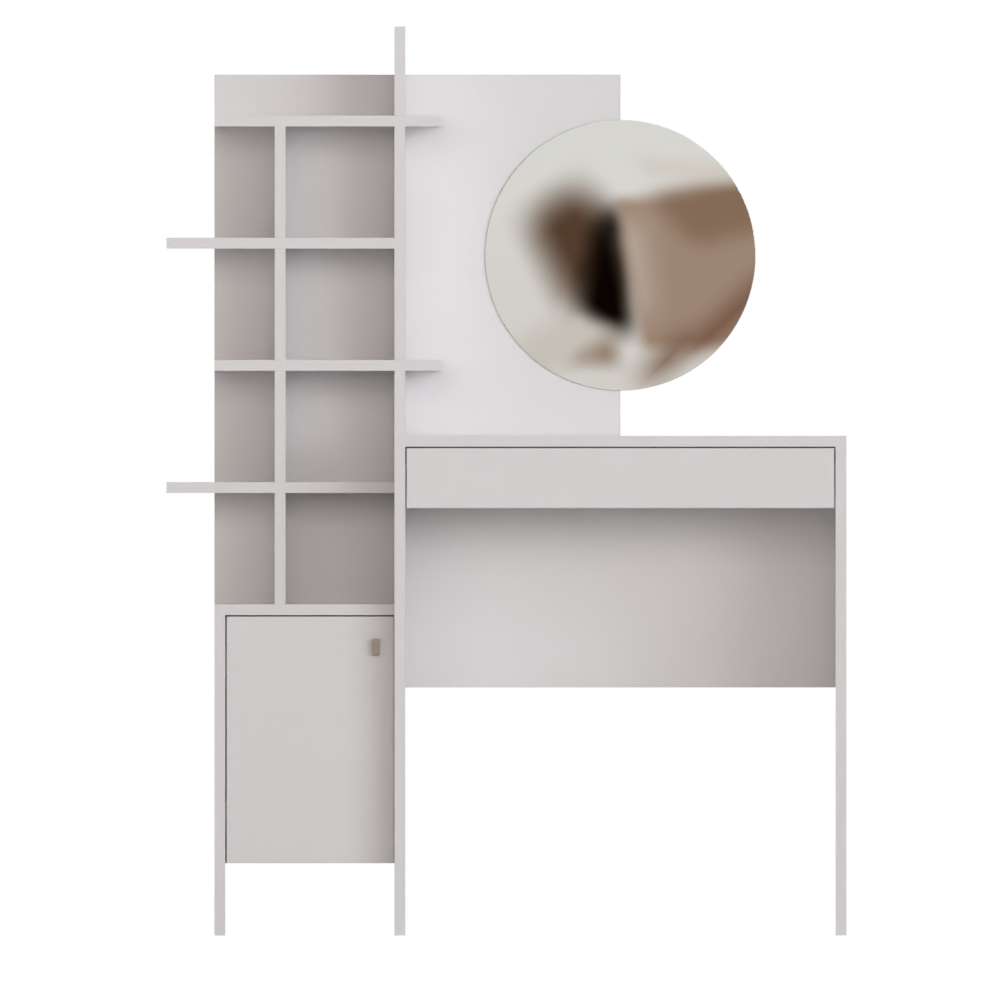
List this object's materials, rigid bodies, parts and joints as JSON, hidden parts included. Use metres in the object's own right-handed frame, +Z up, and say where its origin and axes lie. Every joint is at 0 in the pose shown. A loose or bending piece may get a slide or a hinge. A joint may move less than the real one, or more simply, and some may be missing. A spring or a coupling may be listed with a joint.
{
  "type": "dressing table",
  "caption": "Dressing table: desk with a full-width drawer, shelf tower over a small door cabinet at its left, and a round mirror on a half-width back panel.",
  "frame": {"origin": "on the floor, in the middle of the whole footprint", "axes": "+Z up, +Y towards the wall at the back, +X to the right of a person who sits at the front"},
  "size_m": [1.005, 0.4, 1.3434],
  "materials": {
    "board": "matt white pearl melamine on chipboard, with matching edge band",
    "thin_board": "white painted fibreboard, brown at its edges",
    "knob": "satin taupe",
    "screw_steel": "bright zinc plate",
    "hinge_steel": "nickel plate",
    "runner_steel": "zinc plate",
    "ball_steel": "polished",
    "cage_plastic": "black moulded",
    "cam_zinc": "as cast zinc",
    "dowel_wood": "bare beech",
    "cap_plastic": "matt white",
    "bumper": "soft clear white",
    "tape": "white foam",
    "mirror": "silvered glass with a polished edge"
  },
  "bodies": {
    "root": {"desk_left_side": "board", "desk_right_side": "board", "desk_top": "board", "modesty_panel": "board", "upright": "board", "mirror_panel": "board", "tower_back": "board", "cabinet_side": "board", "cabinet_top": "board", "cabinet_bottom": "board", "divider": "board", "lower_shelf": "board", "middle_shelf": "board", "upper_shelf": "board", "top_shelf": "board", "cabinet_back": "thin_board", "hinge_arms": "hinge_steel", "hinge_plates": "hinge_steel", "hinge_plate_screws": "screw_steel", "door_bumpers": "bumper", "left_runner_outer": "runner_steel", "right_runner_outer": "runner_steel", "runner_screws": "screw_steel", "mirror_glass": "mirror", "mirror_tape": "tape", "cam_locks": "cam_zinc", "cam_bolts": "screw_steel", "dowels": "dowel_wood", "back_screws": "screw_steel", "cam_caps": "cap_plastic"},
    "door": {"door": "board", "door_knob": "knob", "knob_screw": "screw_steel", "hinge_cups": "hinge_steel", "hinge_cup_screws": "screw_steel", "hinge_pins": "hinge_steel"},
    "drawer": {"drawer_front": "board", "drawer_left_side": "board", "drawer_right_side": "board", "drawer_back": "board", "drawer_bottom": "thin_board", "drawer_cam_locks": "cam_zinc", "drawer_cam_bolts": "screw_steel", "drawer_dowels": "dowel_wood", "drawer_screws": "screw_steel", "left_runner_inner": "runner_steel", "right_runner_inner": "runner_steel", "slide_screws": "screw_steel"},
    "left_runner_middle": {"left_runner_middle": "runner_steel"},
    "right_runner_middle": {"right_runner_middle": "runner_steel"},
    "left_outer_cage": {"left_outer_cage": "cage_plastic", "left_outer_balls": "ball_steel"},
    "left_inner_cage": {"left_inner_cage": "cage_plastic", "left_inner_balls": "ball_steel"},
    "right_outer_cage": {"right_outer_cage": "cage_plastic", "right_outer_balls": "ball_steel"},
    "right_inner_cage": {"right_inner_cage": "cage_plastic", "right_inner_balls": "ball_steel"}
  },
  "joints": [
    {"name": "door_hinge", "type": "hinge", "parent": "root", "child": "door", "pos_m": [-0.3915, -0.1205, 0.289], "axis": [0, 0, -1], "range_deg": [0, 100]},
    {"name": "drawer_slide", "type": "slide", "parent": "root", "child": "drawer", "axis": [0, -1, 0], "range_m": [0, 0.35]},
    {"name": "left_runner_middle_slide", "type": "slide", "parent": "root", "child": "left_runner_middle", "axis": [0, -1, 0], "range_m": [0, 0.175]},
    {"name": "right_runner_middle_slide", "type": "slide", "parent": "root", "child": "right_runner_middle", "axis": [0, -1, 0], "range_m": [0, 0.175]},
    {"name": "left_outer_cage_slide", "type": "slide", "parent": "root", "child": "left_outer_cage", "axis": [0, -1, 0], "range_m": [0, 0.0875]},
    {"name": "right_outer_cage_slide", "type": "slide", "parent": "root", "child": "right_outer_cage", "axis": [0, -1, 0], "range_m": [0, 0.0875]},
    {"name": "left_inner_cage_slide", "type": "slide", "parent": "root", "child": "left_inner_cage", "axis": [0, -1, 0], "range_m": [0, 0.2625]},
    {"name": "right_inner_cage_slide", "type": "slide", "parent": "root", "child": "right_inner_cage", "axis": [0, -1, 0], "range_m": [0, 0.2625]}
  ],
  "couplings": [
    {"joint": "left_runner_middle_slide", "follows": "drawer_slide", "ratio": 0.5},
    {"joint": "right_runner_middle_slide", "follows": "drawer_slide", "ratio": 0.5},
    {"joint": "left_outer_cage_slide", "follows": "drawer_slide", "ratio": 0.25},
    {"joint": "right_outer_cage_slide", "follows": "drawer_slide", "ratio": 0.25},
    {"joint": "left_inner_cage_slide", "follows": "drawer_slide", "ratio": 0.75},
    {"joint": "right_inner_cage_slide", "follows": "drawer_slide", "ratio": 0.75}
  ]
}
